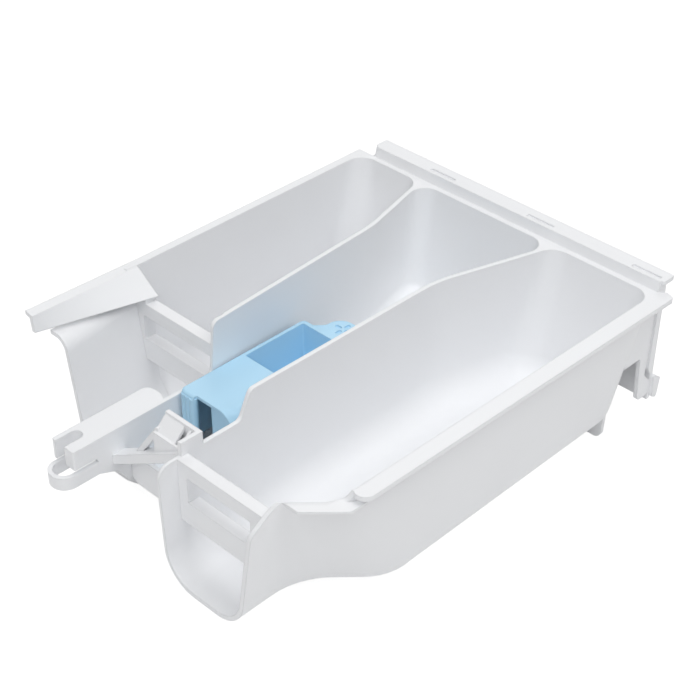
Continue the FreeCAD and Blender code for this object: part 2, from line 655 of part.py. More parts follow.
def lip_rounding():
    """Tool that rounds over the inner edge of the shoulder's lip and runs out before the rim."""
    top = -SHOULDER_DROP
    half = (math.pi / 2 - math.atan(SHOULDER_DRAFT)) / 2
    root = math.sqrt(2)
    edge = SHOULDER_LINE / root - WALL - SHOULDER_DRAFT * SHOULDER_DROP
    first = (RIGHT_SPOUT_X - SHOULDER_LINE / 2) * root
    last = (RIGHT_WALL_X - SHOULDER_LINE / 2) * root - SHOULDER_RADIUS_RIM / 2
    sections = []
    full, small = LIP_ROUNDS
    for along, radius in ((first, full), (last - LIP_RUN_OUT, full), (last, small)):
        touch = radius * math.tan(half)
        spots = [
            (touch, 0),
            (touch - radius * math.sin(half), -radius * (1 - math.cos(half))),
            (-touch * math.cos(2 * half), -touch * math.sin(2 * half)),
            (-radius, -touch * math.sin(2 * half)),
            (-radius, radius),
            (touch, radius),
        ]
        points = [Vector((edge + n + along) / root, (along - edge - n) / root, top + z) for n, z in spots]
        arc = Part.Arc(*points[:3]).toShape()
        sections.append(Part.Wire([arc] + Part.makePolygon(points[2:] + points[:1]).Edges))
    return Part.makeLoft(sections, True, True)


def wing():
    """Left guide wing: a flange with a web that twists from upright at its tip to a slope."""
    sheet = WING_SHEET
    sections = []
    for y in (WING_TIP, WING_ROOT):
        edge, sag, inner, foot = wing_line(y)
        line = [
            Vector(edge, y, -sag),
            Vector(inner, y, -2 * sag),
            Vector(foot, y, -WING_DROP),
            Vector(foot - sheet, y, -WING_DROP),
            Vector(inner - sheet, y, -2 * sag - sheet),
            Vector(edge, y, -sag - sheet),
        ]
        sections.append(Part.makePolygon(line + line[:1]))
    return Part.makeLoft(sections, True, True)


def flare():
    """Top of the left spout's wall, bent outward, and the web that carries the wing."""
    lean = (LEFT_SPOUT_ROOT_X - LEFT_SPOUT_TIP_X) / (LEFT_FRAME_FRONT - LEFT_SPOUT_TIP)
    across = WALL * math.hypot(1, lean)
    top = FLARE_DROP
    foot = LEFT_LOW_DROP + WALL
    sections = []
    for y, radius in zip((LEFT_SPOUT_TIP, LEFT_FRAME_REAR), FLARE_RADII):
        face = left_spout_x(y)
        line = [
            Vector(LEFT_WALL_X, y, -top),
            Vector(LEFT_WALL_X, y, -top - WALL),
            Vector(face + LEFT_SPOUT_DRAFT * (top + WALL), y, -top - WALL),
            Vector(face + LEFT_SPOUT_DRAFT * foot, y, -foot),
            Vector(face + LEFT_SPOUT_DRAFT * foot + across, y, -foot),
            Vector(face + LEFT_SPOUT_DRAFT * top + across, y, -top),
        ]
        sections.append(loop(line, [0, 0, radius, 0, 0, radius + WALL]))
    bend = Part.makeLoft(sections, True, True)
    carrier_start = LEFT_FRAME_FRONT - 3 * FRAME_DEPTH
    carrier = box(LEFT_WALL_X, LEFT_WALL_X + WALL, carrier_start, LEFT_FRAME_REAR,
                  -top - WALL, -WING_SHEET - RIB)
    return [bend, carrier]


def raised_strip():
    """Raised strip at the handle end: a shelf on a slanting riser with closed ends, and its slots."""
    top = STRIP_HEIGHT
    low = -RIM_THICKNESS
    head = RISER_Y + RISER_RUN
    left = STRIP_LEFT + STRIP_OVERHANG
    right = STRIP_RIGHT - STRIP_OVERHANG
    shelf = plate([
        (STRIP_LEFT, head + WALL / 2, STRIP_CORNER),
        (STRIP_RIGHT, head + WALL / 2, STRIP_CORNER),
        (STRIP_RIGHT, STRIP_DEPTH, STRIP_CORNER),
        (STRIP_LEFT, STRIP_DEPTH, STRIP_CORNER),
    ], top - STRIP_THICKNESS, top)
    riser = side_plate([(RISER_Y, low, 0), (RISER_Y + WALL, low, 0), (head + WALL, top, 0), (head, top, 0)],
                       left, right)
    under = top - STRIP_THICKNESS / 2
    closing = [(RISER_Y + WALL / 2, low, 0), (SKIRT_Y + WALL / 2, low, 0), (SKIRT_Y + WALL / 2, under, 0),
               (head + WALL / 2, under, 0)]
    ends = [side_plate(closing, left, left + WALL), side_plate(closing, right - WALL, right)]
    strip = fused([shelf, riser] + ends)
    half = SLOT_LENGTH / 2
    pitch = (SLOT_LAST_X - SLOT_FIRST_X) / (SLOTS - 1)
    slots = []
    for i in range(SLOTS):
        x = SLOT_FIRST_X + i * pitch
        slots.append(box(x - half, x + half, SLOT_Y - SLOT_WIDTH / 2, SLOT_Y + SLOT_WIDTH / 2,
                         top - SLOT_DEPTH, top + TOOL_LAP))
    return strip.cut(slots)


def handle_end():
    """Raised strip, the skirt below it, and the cheeks with their prongs and hooks."""
    back = SKIRT_Y + WALL
    skirt = side_plate([
        (SKIRT_Y, STRIP_HEIGHT - STRIP_THICKNESS / 2, 0),
        (SKIRT_Y - SKIRT_LEAN, -SKIRT_DROP, 0),
        (back - SKIRT_LEAN, -SKIRT_DROP, 0),
        (back, STRIP_HEIGHT - STRIP_THICKNESS / 2, 0),
    ], -CHEEK_X - WALL, CHEEK_X + WALL)
    pieces = [raised_strip(), skirt]
    prong_end = PRONG_Y + PRONG_WIDTH
    hook_y = prong_end + SLIT
    seam_low = SEAM_Y - SEAM_LEAN
    for side in (-1, 1):
        cheek = side_plate([
            (REAR_Y - CHEEK_LENGTH, -RIM_THICKNESS / 2, 0),
            (REAR_Y - CHEEK_LENGTH, -ARCH_DROP, 0),
            (PRONG_Y, -ARCH_DROP, PRONG_TAPER),
            (PRONG_Y + PRONG_TAPER, -PRONG_DROP, PRONG_RADIUS),
            (prong_end, -PRONG_DROP, PRONG_RADIUS),
            (prong_end, -HOOK_DROP, 0),
            (back - SKIRT_LEAN, -HOOK_DROP, 0),
            (back, -RIM_THICKNESS / 2, 0),
        ], side * CHEEK_X, side * (CHEEK_X + WALL))
        hook = side_plate([
            (hook_y, -HOOK_DROP + HOOK_SLOPE, HOOK_RADIUS),
            (back + HOOK_REACH - TOOL_LAP, -HOOK_DROP - HOOK_SLOPE, HOOK_RADIUS),
            (back + HOOK_REACH - SKIRT_LEAN, -HOOK_DROP - HOOK_LENGTH, HOOK_RADIUS),
            (hook_y, -HOOK_DROP - HOOK_LENGTH + HOOK_SLOPE, HOOK_RADIUS),
        ], side * (CHEEK_X - HOOK_OUT), side * (CHEEK_X + WALL + HOOK_OUT))
        seam = side_plate([
            (SEAM_Y, -2 * RIM_THICKNESS, 0),
            (seam_low, -HOOK_DROP + SLIT_RISE, 0),
            (seam_low + SEAM, -HOOK_DROP + SLIT_RISE, 0),
            (SEAM_Y + SEAM, -2 * RIM_THICKNESS, 0),
        ], side * (CHEEK_X + WALL / 2), side * (CHEEK_X + 2 * WALL))
        slit = side_plate([
            (seam_low, -HOOK_DROP + SLIT_RISE + SLIT, 0),
            (seam_low, -HOOK_DROP + SLIT_RISE - SLIT, 0),
            (prong_end, -HOOK_DROP - SLIT, 0),
            (hook_y, -HOOK_DROP - SLIT, 0),
            (hook_y, -HOOK_DROP, 0),
            (seam_low + SEAM, -HOOK_DROP + SLIT_RISE + SLIT, 0),
        ], side * (CHEEK_X - WALL), side * (CHEEK_X + 2 * WALL))
        pieces += [cheek.cut([seam, slit]), hook]
    return pieces


def feet():
    """Two feet under the floor at the handle end, as low as the spouts."""
    pieces = []
    for side in (-1, 1):
        outer = side * FOOT_REACH
        inner = outer - side * FOOT_WIDTH
        pieces.append(end_plate([
            (inner, -DEPTH_HANDLE_END + FLOOR_RADIUS, 0),
            (inner, -DEPTH_SPOUT_END, FOOT_RADIUS),
            (outer, -DEPTH_SPOUT_END, FOOT_RADIUS),
            (outer + side * RIB, -DEPTH_HANDLE_END + FLOOR_RADIUS, 0),
        ], FOOT_Y - WALL / 2, FOOT_Y + WALL / 2))
    return pieces


def stop_arm():
    """Arm in line with the left partition: beam with its notch, web, and the hoop under its tip."""
    right = LEFT_PARTITION_X + WALL / 2
    left = right - ARM_WIDTH
    top = -LEFT_LOW_DROP
    low = top - ARM_HEIGHT
    beam = plate([
        (left, ARM_FRONT, ARM_CORNER),
        (right, ARM_FRONT, ARM_CORNER),
        (right, ARM_REAR - ARM_HEEL_FALL[0], ARM_HEEL[0]),
        (left + ARM_WIDTH / 2, ARM_REAR, ARM_HEEL[1]),
        (left, ARM_REAR - ARM_HEEL_FALL[1], ARM_HEEL[2]),
    ], low, top)
    notch_x = left + NOTCH_SIDE
    notch = plate([
        (notch_x, ARM_FRONT - WALL, 0),
        (notch_x + NOTCH_WIDTH, ARM_FRONT - WALL, 0),
        (notch_x + NOTCH_WIDTH, ARM_FRONT + NOTCH_LENGTH, NOTCH_WIDTH / 2),
        (notch_x, ARM_FRONT + NOTCH_LENGTH, NOTCH_WIDTH / 2),
    ], low - TOOL_LAP, top + TOOL_LAP)
    hollow_front = ARM_FRONT + NOTCH_LENGTH + 2 * WALL
    hollow = box(left + WALL, right - WALL, hollow_front, ARM_REAR - 2 * WALL, low - TOOL_LAP, top - WALL)
    hoop_top = low - HOOP_GAP
    hoop_low = hoop_top - HOOP_HEIGHT
    web_toe = -ARM_TOE_DROP
    web = side_plate([
        (LEFT_SPOUT_TIP + 2 * WALL, top - WALL, 0),
        (ARM_FRONT + NOTCH_LENGTH, top - WALL, 0),
        (ARM_FRONT + NOTCH_LENGTH, low, 0),
        (HOOP_ROOT, hoop_top, 0),
        (HOOP_ROOT, hoop_low, 0),
        (HOOP_ROOT + ARM_WEB_KNEE[0], hoop_low - ARM_WEB_KNEE[1], ARM_WEB_KNEE[2]),
        (LEFT_SPOUT_TIP - ARM_WEB_ANKLE[0], web_toe + ARM_WEB_ANKLE[1], ARM_WEB_ANKLE[2]),
        (LEFT_SPOUT_TIP, web_toe, 0),
        (LEFT_SPOUT_TIP + 2 * WALL, web_toe, 0),
    ], right - WALL, right)
    root = box(left, left + WALL, HOOP_ROOT, HOOP_ROOT + HOOP_ROOT_LENGTH, hoop_low, low + WALL)
    round_end = ARM_WIDTH / 2
    band = plate([
        (left, HOOP_FRONT, round_end),
        (right, HOOP_FRONT, round_end),
        (right, HOOP_ROOT + WALL, 0),
        (left, HOOP_ROOT + WALL, 0),
    ], hoop_low, hoop_top)
    inside = plate([
        (left + WALL, HOOP_FRONT + WALL, round_end - WALL),
        (right - WALL, HOOP_FRONT + WALL, round_end - WALL),
        (right - WALL, HOOP_ROOT + 2 * WALL, 0),
        (left + WALL, HOOP_ROOT + 2 * WALL, 0),
    ], hoop_low - TOOL_LAP, hoop_top + TOOL_LAP)
    return [beam.cut(notch).cut(hollow), web, root, band.cut(inside)]


def strut_top(x):
    """Height of the strut's upper edge between the arm and the right spout."""
    x0 = LEFT_PARTITION_X
    x1 = RIGHT_PARTITION_X
    return -FRAME_TOP + STRUT_LIFT - STRUT_FALL * (x1 - x) / (x1 - x0)


def struts():
    """Bar from the right spout down to the arm, and the thin tie above it."""
    x0 = LEFT_PARTITION_X
    x1 = RIGHT_PARTITION_X
    bar = end_plate([
        (x0, strut_top(x0), 0),
        (x0, strut_top(x0) - STRUT_HEIGHT, 0),
        (x1, strut_top(x1) - STRUT_HEIGHT, 0),
        (x1, strut_top(x1), 0),
    ], STRUT_FRONT, STRUT_FRONT + STRUT_DEPTH)
    foot = RAMP_LEFT - TIE_RUN
    tie_rear = STRUT_FRONT + STRUT_DEPTH
    tie = end_plate([
        (foot, strut_top(foot) - RIB, 0),
        (foot + 2 * RIB, strut_top(foot) - RIB, 0),
        (RAMP_LEFT + RIB, -RAMP_DROP - RAMP_RUN - RIB, 0),
        (RAMP_LEFT + RIB, -RAMP_DROP - RAMP_RUN + RIB, 0),
        (RAMP_LEFT, -RAMP_DROP - RAMP_RUN + RIB, 0),
    ], tie_rear - 2 * RIB, tie_rear)
    return [bar, tie]


def ramp_block():
    """Small box between the softener compartment and the strut, with a slanting lid."""
    left = RAMP_LEFT
    lid_right = left + RAMP_WIDTH
    right = RIGHT_PARTITION_X
    front = RAMP_REAR - RAMP_RUN
    top = -RAMP_DROP
    foot = top - RAMP_RUN
    lid = side_plate([
        (RAMP_REAR, top, 0),
        (front, foot, 0),
        (front, foot - WALL, 0),
        (RAMP_REAR, top - WALL, 0),
    ], left, lid_right)
    face = end_plate([
        (left, foot, 0),
        (left, strut_top(left) - WALL, 0),
        (right, strut_top(right) - WALL, 0),
        (right, foot, 0),
    ], front - RIB, front)
    back = box(left, right, SOFTENER_FRONT, SOFTENER_FRONT + WALL,
               -SOFTENER_END_WALL_DROP - WALL, top)
    pieces = [lid, face, back]
    for x in (left, lid_right + 2 * RIB):
        pieces.append(side_plate([
            (RAMP_REAR, top, 0),
            (front, foot, 0),
            (front, strut_top(left), 0),
            (RAMP_REAR, strut_top(left), 0),
        ], x, x + RIB))
    post_x = RIGHT_PARTITION_X - WALL / 2
    post = box(post_x, post_x + WALL, front - RAMP_POST, RAMP_REAR + WALL / 2, -FRAME_TOP - WALL, top)
    return pieces + [post]


def stand_pipe():
    """Outer form and bore of the siphon's stand pipe."""
    x, y = STAND_PIPE
    foot = softener_floor(y)
    height = -STAND_PIPE_TOP - foot - WALL / 2
    outer = Part.makeCylinder(STAND_PIPE_DIAMETER / 2, height, Vector(x, y, foot + WALL / 2))
    bore = Part.makeCylinder(STAND_PIPE_BORE / 2, REACH, Vector(x, y, foot - WALL))
    return outer, bore


def fused(shapes):
    return shapes[0].multiFuse(shapes[1:])


def make_tray():
    left_outer, left_cavity = left_compartment()
    spout_outer, spout_cavity, spout_through = left_spout()
    right_outer, right_cavity = right_compartment()
    softener_outer, softener_cavity = softener_compartment()
    walls = fused([left_outer, spout_outer, right_outer, softener_outer] + flare() + feet())
    end_wall_gap = box(LEFT_PARTITION_X + WALL / 2, RIGHT_PARTITION_X - WALL / 2,
                       SOFTENER_FRONT - WALL, SOFTENER_FRONT + 2 * WALL, -SOFTENER_END_WALL_DROP, CUT_TOP)
    walls = walls.cut(wall_trims() + [end_wall_gap])
    body = fused([walls] + rims() + [shoulder_lip()] + handle_end())
    frame_slab = box(-REACH, REACH, RIGHT_FRAME_FRONT, RIGHT_FRAME_REAR, -REACH, -FRAME_TOP)
    right_parts = right_cavity.cut(frame_slab)
    body = body.cut([left_cavity, spout_cavity, right_parts, softener_cavity, lip_rounding()])
    x0 = left_spout_x(LEFT_FRAME_FRONT) + WALL + LEFT_SPOUT_DRAFT * FRAME_TOP + JAMB
    cuts = frame_windows(x0, LEFT_PARTITION_X, LEFT_FRAME_FRONT, spout_through)
    gap_foot = FRAME_TOP + TOP_BAR + WINDOW
    x0 = RIGHT_PARTITION_X + WALL / 2 + JAMB
    x1 = RIGHT_SPOUT_X - WALL - RIGHT_SPOUT_DRAFT * gap_foot - JAMB
    cuts += frame_windows(x0, x1, RIGHT_FRAME_FRONT, right_cavity)
    body = body.cut(cuts + [left_frame_top()])
    pipe, bore = stand_pipe()
    outlets = stop_arm() + struts() + ramp_block()
    body = fused([body, pipe, wing().cut(left_cavity)] + outlets).cut(bore)
    return body.removeSplitter()


def roll(right):
    """Tool over the insert's right side: an S that is wide at the front, narrow at the pocket."""
    top = -INSERT_TOP
    sections = []
    for y, (width, fall) in ((INSERT_FRONT - WALL, ROLL_FRONT), (POCKET_FRONT, ROLL_REAR)):
        start = Vector(right - width, y, top)
        end = Vector(right - ROLL_FLAT * width, y, top - fall)
        pull = Vector((end.x - start.x) / 2, 0, 0)
        curve = Part.BezierCurve()
        curve.setPoles([start, start + pull, end - pull, end])
        outside = [end, Vector(right + WALL, y, end.z), Vector(right + WALL, y, top + WALL),
                   Vector(start.x, y, top + WALL), start]
        sections.append(Part.Wire([curve.toShape()] + Part.makePolygon(outside).Edges))
    return Part.makeLoft(sections, True, True)


def siphon_cap(top):
    """Outer form and bore of the cap that hangs from the cover over the stand pipe."""
    x, y = STAND_PIPE
    inside = STAND_PIPE_DIAMETER / 2 + CAP_GAP
    low = raised(softener_floor)(y) + CAP_FOOT_GAP
    outer = Part.makeCylinder(inside + CAP_WALL, top - INSERT_WALL / 2 - low, Vector(x, y, low))
    height = top - INSERT_WALL - low + TOOL_LAP
    bore = Part.makeCylinder(inside, height, Vector(x, y, low - TOOL_LAP))
    return outer, bore


def thumb_tab(middle, top):
    """Tab behind the pocket, with the flower sunk into it."""
    root_y = INSERT_REAR - 1.5 * INSERT_EDGE
    tab = plate([
        (middle - TAB_ROOT / 2, root_y, 0),
        (middle + TAB_ROOT / 2, root_y, 0),
        (middle + TAB_WIDTH / 2, INSERT_REAR + TAB_ROOT_RUN, TAB_RADII[0]),
        (middle + TAB_WIDTH / 2, INSERT_REAR + TAB_LENGTH, TAB_RADII[1]),
        (middle - TAB_WIDTH / 2, INSERT_REAR + TAB_LENGTH, TAB_RADII[1]),
        (middle - TAB_WIDTH / 2, INSERT_REAR + TAB_ROOT_RUN, TAB_RADII[0]),
    ], top - TAB_THICKNESS, top)
    petals = []
    near = PETAL_RADIUS - PETAL_LENGTH / 2
    far = PETAL_RADIUS + PETAL_LENGTH / 2
    half = PETAL_WIDTH / 2
    for i in range(PETALS):
        petal = plate([
            (near, -half, half),
            (far, -half, half),
            (far, half, half),
            (near, half, half),
        ], top - PETAL_DEPTH, top + TOOL_LAP)
        petal.rotate(Vector(0, 0, 0), Vector(0, 0, 1), i * 360 / PETALS)
        petal.translate(Vector(middle + FLOWER[0], INSERT_REAR + FLOWER[1], 0))
        petals.append(petal)
    return tab.cut(petals)


def make_insert():
    """Siphon insert: closed cover with the siphon cap, open pocket, thumb tab."""
    left = LEFT_PARTITION_X + WALL / 2 + INSERT_CLEARANCE
    right = RIGHT_PARTITION_X - WALL / 2 - INSERT_CLEARANCE
    wall = INSERT_WALL
    top = -INSERT_TOP
    under = top - wall
    floor = raised(softener_floor)
    low = floor(INSERT_REAR) + INSERT_FOOT_GAP
    floor_rounding = SOFTENER_FLOOR_RADIUS - WALL + INSERT_CLEARANCE
    below = low - TOOL_LAP
    block = plate([
        (left, INSERT_FRONT, INSERT_CORNER),
        (right, INSERT_FRONT, INSERT_CORNER),
        (right, INSERT_REAR, INSERT_CORNER),
        (left, INSERT_REAR, INSERT_CORNER),
    ], low, top)
    upper = [e for e in block.Edges if all(abs(v.Z - top) < 1e-6 for v in e.Vertexes)]
    block = block.makeFillet(INSERT_EDGE, upper)
    corners = [(left, low, floor_rounding), (right, low, floor_rounding), (right, 0, 0), (left, 0, 0)]
    block = block.common(end_plate(corners, INSERT_FRONT - wall, INSERT_REAR + wall))
    over = roll(right)
    over_inside = over.translated(Vector(-wall / 2, 0, -wall))
    panel_end = left + PANEL
    wall_line = INSERT_FRONT + SET_BACK
    chamber = plate([
        (left + wall, INSERT_FRONT + wall, POCKET_CORNER),
        (panel_end, INSERT_FRONT + wall, 0),
        (panel_end, wall_line + wall, 0),
        (right - wall, wall_line + wall, POCKET_CORNER),
        (right - wall, POCKET_FRONT - wall, POCKET_CORNER),
        (left + wall, POCKET_FRONT - wall, POCKET_CORNER),
    ], below, under).cut(over_inside)
    before = INSERT_FRONT - wall
    set_back = box(panel_end, right + wall, before, wall_line, below, under).cut(over_inside)
    scoop = plate([
        (panel_end, before, 0),
        (right + wall, before, 0),
        (right + wall, INSERT_FRONT + SCOOP, 0),
        (panel_end, INSERT_FRONT + SCOOP, SCOOP / 2),
    ], below, top + TOOL_LAP)
    inlet = end_plate([
        (panel_end, below, 0),
        (panel_end + INLET, below, 0),
        (panel_end + INLET, under - INLET_TOP, INLET_RADIUS),
        (panel_end, under - INLET_TOP, 0),
    ], before, wall_line + 2 * wall)
    pocket = plate([
        (left + POCKET_RIM, POCKET_FRONT, POCKET_CORNER),
        (right - POCKET_RIM, POCKET_FRONT, POCKET_CORNER),
        (right - POCKET_RIM, POCKET_REAR, POCKET_CORNER),
        (left + POCKET_RIM, POCKET_REAR, POCKET_CORNER),
    ], top - POCKET_DEPTH, top + TOOL_LAP)
    pocket_under = top - POCKET_DEPTH - wall
    recess = box(left + wall, right - wall, POCKET_FRONT, INSERT_REAR - wall, below, pocket_under)
    runners = []
    for x in (left + 3 * POCKET_RIM, right - 3 * POCKET_RIM - wall):
        runners.append(box(x, x + wall, POCKET_FRONT, POCKET_REAR, low, pocket_under + wall / 2))
    flutes = []
    flute_y = INSERT_FRONT + FLUTE_RADIUS - FLUTE_OUT
    flute_foot = low + floor_rounding
    for i in range(FLUTES):
        place = Vector(left + wall + (i + 0.5) * FLUTE_PITCH, flute_y, flute_foot)
        flute = Part.makeCylinder(FLUTE_RADIUS, under - flute_foot, place)
        flutes.append(flute.cut(chamber))
    cap, cap_bore = siphon_cap(top)
    body = block.cut([over, chamber, set_back, scoop, inlet, pocket, recess])
    tab = thumb_tab((left + right) / 2, top)
    body = fused([body, tab, cap] + runners + flutes).cut(cap_bore)
    return body.removeSplitter()


def main():
    tray = make_tray()
    insert = make_insert()
    bounds = tray.optimalBoundingBox()
    to_origin = Vector(-bounds.Center.x, -bounds.Center.y, -bounds.ZMin)
    os.makedirs("parts", exist_ok=True)
    for name, shape in (("drawer_tray", tray), ("siphon_insert", insert)):
        shape.translate(to_origin)
        shape.exportStep("parts/%s.step" % name)
        print(name, "solids", len(shape.Solids), "valid", shape.isValid(), "volume", round(shape.Volume))
    print("size", [round(v, 2) for v in (bounds.XLength, bounds.YLength, bounds.ZLength)])
    print("moved by", [round(v, 3) for v in to_origin])


main()
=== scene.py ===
# %% [markdown]
# # A detergent drawer's tray and its siphon insert
# The real thing is two plastic mouldings: a white tray, and a light blue insert that lifts out of it.
# Their shapes come from a CAD model that is loaded here as a fixed frame, in metres, with Z up.
# What is left for Blender is the look: the light, the camera and two kinds of satin plastic.

# %% Load the two mouldings
import math

import bpy
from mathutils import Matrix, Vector

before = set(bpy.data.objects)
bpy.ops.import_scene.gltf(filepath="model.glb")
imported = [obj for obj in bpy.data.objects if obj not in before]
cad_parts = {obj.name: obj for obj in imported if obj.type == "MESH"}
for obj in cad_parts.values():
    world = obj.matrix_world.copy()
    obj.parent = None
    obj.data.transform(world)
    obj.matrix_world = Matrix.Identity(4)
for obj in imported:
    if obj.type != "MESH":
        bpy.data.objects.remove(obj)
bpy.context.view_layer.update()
print("mouldings:", sorted(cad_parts))

# %% [markdown]
# ## The camera
# A product photograph is taken from a distance with a long lens, so that parallel edges stay nearly
# parallel. The place and the lens below were found by matching the tray's straight edges to the
# picture. A track quaternion then turns the camera, which looks along its own -Z, into that direction.

# %% Place the camera
CAMERA_PLACE = Vector((0.4581, -0.44795, 0.5148))
CAMERA_TURN = math.radians(44.8)      # round from looking along +Y, towards -X
CAMERA_TILT = math.radians(35.6)      # down from the horizon
SENSOR = 36.0                         # width in mm
FOCAL_LENGTH = 1720                   # in pixels
PICTURE_WIDTH = 700
LENS = SENSOR * FOCAL_LENGTH / PICTURE_WIDTH

level = math.cos(CAMERA_TILT)
looking = Vector((-math.sin(CAMERA_TURN) * level, math.cos(CAMERA_TURN) * level, -math.sin(CAMERA_TILT)))
camera = bpy.data.objects.new("camera", bpy.data.cameras.new("camera"))
camera.data.lens = LENS
camera.data.sensor_width = SENSOR
camera.data.clip_start = 0.01
camera.location = CAMERA_PLACE
camera.rotation_mode = "QUATERNION"
camera.rotation_quaternion = looking.to_track_quat("-Z", "Y")
bpy.context.scene.collection.objects.link(camera)
bpy.context.scene.camera = camera
print("lens in mm:", round(LENS, 2))

# %% [markdown]
# ## Wiring helper
# Every material below is a small net of nodes. Writing each net as plain calls keeps the script easy
# to follow: `add` makes a node and sets its values, and `wire` joins an output to an input.


# %% Define the wiring helpers
def add(tree, kind, **values):
    """New node in a tree. Values name its inputs, or its properties where it has no such input."""
    node = tree.nodes.new(kind)
    for name, value in values.items():
        socket = node.inputs.get(name.replace("_", " ").title())
        if socket is None:
            setattr(node, name, value)
        else:
            socket.default_value = value
    return node


def wire(tree, output, target):
    """Joins a node's output to another node's input."""
    tree.links.new(output, target)


def blank_material(name):
    """Material with an empty node tree and its output node."""
    material = bpy.data.materials.new(name)
    material.use_nodes = True
    material.node_tree.nodes.clear()
    return material, add(material.node_tree, "ShaderNodeOutputMaterial")


print("helpers ready")

# %% [markdown]
# ## The white studio
# The photograph has a pure white ground and very even light, as in a light tent. A floor that is
# merely painted white would come out grey, and more light would burn out the white plastic. So the
# ground shows a steady glow to the camera, with a little real shading added so that the shadow stays,
# and it is an ordinary pale floor to all other light.

# %% Build the floor
FLOOR_HALF = 3.0
FLOOR_DROP = 0.0003                   # just under the tray's feet
FLOOR_PAINT = 0.9                     # what the floor gives back to the object
GROUND_GLOW = 0.875                   # what the camera sees of it, before its shading
SHADOW_SHARE = 0.34


def grey(level):
    """Colour without a tint."""
    return (level, level, level, 1)


floor_mesh = bpy.data.meshes.new("studio_floor")
floor_mesh.from_pydata(
    [(x * FLOOR_HALF, y * FLOOR_HALF, -FLOOR_DROP) for x, y in ((-1, -1), (1, -1), (1, 1), (-1, 1))],
    [], [(0, 1, 2, 3)])
floor = bpy.data.objects.new("studio_floor", floor_mesh)
bpy.context.scene.collection.objects.link(floor)


def seen_directly(tree):
    """1 for rays that show a picture of the surroundings: from the camera, in gloss and through glass."""
    rays = add(tree, "ShaderNodeLightPath")
    first = add(tree, "ShaderNodeMath", operation="MAXIMUM")
    second = add(tree, "ShaderNodeMath", operation="MAXIMUM")
    wire(tree, rays.outputs["Is Camera Ray"], first.inputs[0])
    wire(tree, rays.outputs["Is Glossy Ray"], first.inputs[1])
    wire(tree, first.outputs[0], second.inputs[0])
    wire(tree, rays.outputs["Is Transmission Ray"], second.inputs[1])
    return second.outputs[0]


ground, ground_out = blank_material("studio_ground")
tree = ground.node_tree
paint = add(tree, "ShaderNodeBsdfDiffuse", color=grey(FLOOR_PAINT))
shade = add(tree, "ShaderNodeBsdfDiffuse", color=grey(SHADOW_SHARE))
glow = add(tree, "ShaderNodeEmission", strength=GROUND_GLOW)
shown = add(tree, "ShaderNodeAddShader")
ground_mix = add(tree, "ShaderNodeMixShader")
wire(tree, glow.outputs[0], shown.inputs[0])
wire(tree, shade.outputs[0], shown.inputs[1])
wire(tree, seen_directly(tree), ground_mix.inputs[0])
wire(tree, paint.outputs[0], ground_mix.inputs[1])
wire(tree, shown.outputs[0], ground_mix.inputs[2])
wire(tree, ground_mix.outputs[0], ground_out.inputs["Surface"])
floor_mesh.materials.append(ground)
print("floor side in m:", 2 * FLOOR_HALF)

# %% [markdown]
# The compartments of the tray are deep and white, and in the photograph they are as bright inside as on
# their rims. Even light from all round can't do that, because little of it reaches the floor of a deep
# box. So the tent, which is the world, gives only the ground level. Soft lamps high up, from above, from
# the front and from the right, shine over the rims into the compartments, where the white walls pass the
# light on. A weaker one behind keeps the back of the tray from turning grey. The world is white where the
# camera or a reflection sees it.

# %% Light the tent
TENT_LIGHT = 0.38
world = bpy.data.worlds.new("light_tent")
bpy.context.scene.world = world
world.use_nodes = True
tree = world.node_tree
tree.nodes.clear()
cloth = add(tree, "ShaderNodeBackground", color=grey(1), strength=TENT_LIGHT)
white = add(tree, "ShaderNodeBackground", color=grey(1), strength=1.0)
world_mix = add(tree, "ShaderNodeMixShader")
world_out = add(tree, "ShaderNodeOutputWorld")
wire(tree, seen_directly(tree), world_mix.inputs[0])
wire(tree, cloth.outputs[0], world_mix.inputs[1])
wire(tree, white.outputs[0], world_mix.inputs[2])
wire(tree, world_mix.outputs[0], world_out.inputs["Surface"])
print("tent light:", TENT_LIGHT)

# %% Hang the lamps
LAMP_SIDE = 0.6
LAMP_AIM = Vector((0, 0, 0.04))       # the middle of the tray
LAMPS = {                             # place in m, and power in W
    "overhead_box": ((0.1, 0.1, 1.3), 2.8),
    "front_box": ((0.3, -0.85, 1.1), 3.4),
    "right_box": ((0.75, -0.1, 1.1), 3.4),
    "rear_fill": ((-0.65, 0.8, 1.0), 1.8),
}


def soft_lamp(name, place, watts):
    """Square area lamp that points from its place to the tray."""
    lamp = bpy.data.lights.new(name, "AREA")
    lamp.size = LAMP_SIDE
    lamp.energy = watts
    holder = bpy.data.objects.new(name, lamp)
    holder.location = place
    holder.rotation_mode = "QUATERNION"
    holder.rotation_quaternion = (LAMP_AIM - Vector(place)).to_track_quat("-Z", "Y")
    bpy.context.scene.collection.objects.link(holder)


for lamp_name, (lamp_place, lamp_watts) in LAMPS.items():
    soft_lamp(lamp_name, lamp_place, lamp_watts)

# %% [markdown]
# ## What all moulded plastic shares
# Both mouldings come out of polished steel tools, so they share three effects. Each is a node group
# with named inputs, built once and placed in both materials with its own values. The first is the skin:
# a very fine grain from the tool, and broad, shallow waves where the plastic shrank as it cooled.

# %% Build the moulded skin


def new_group(name, inputs, outputs):
    """Shader node group with named sockets, and its input and output nodes."""
    group = bpy.data.node_groups.new(name, "ShaderNodeTree")
    for label, kind, value in inputs:
        socket = group.interface.new_socket(label, in_out="INPUT", socket_type="NodeSocket" + kind)
        if value is not None:
            socket.default_value = value
    for label, kind in outputs:
        group.interface.new_socket(label, in_out="OUTPUT", socket_type="NodeSocket" + kind)
    return group, group.nodes.new("NodeGroupInput"), group.nodes.new("NodeGroupOutput")


